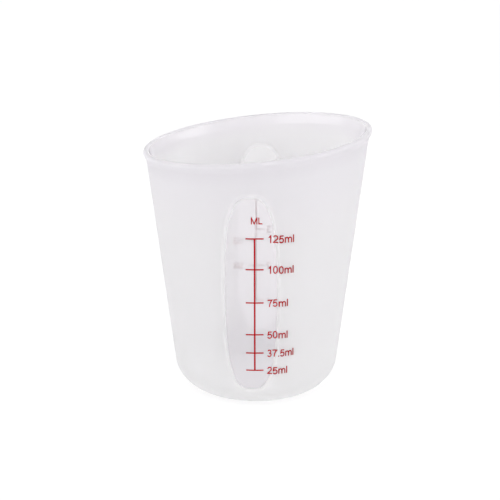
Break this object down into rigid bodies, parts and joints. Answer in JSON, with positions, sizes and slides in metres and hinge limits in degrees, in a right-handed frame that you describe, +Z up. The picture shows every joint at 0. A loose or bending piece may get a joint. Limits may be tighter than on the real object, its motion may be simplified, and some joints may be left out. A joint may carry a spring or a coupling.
{
  "type": "silicone measuring cup",
  "caption": "Small soft translucent silicone measuring cup with a slanted rolled rim, a rounded foot, clear oval windows and printed volume scales.",
  "frame": {"origin": "centre of the flat underside of the foot, on the cup's axis", "axes": "+Z up along the cup's axis, -Y towards the millilitre scale, +X towards the high side of the slanted rim"},
  "size_m": [0.0701, 0.07, 0.0837],
  "materials": {
    "silicone": "satin translucent silicone with clear polished windows",
    "ink": "red screen print"
  },
  "bodies": {
    "root": {"cup": "silicone", "ml_scale": "ink", "ounce_cup_scale": "ink"}
  },
  "joints": []
}
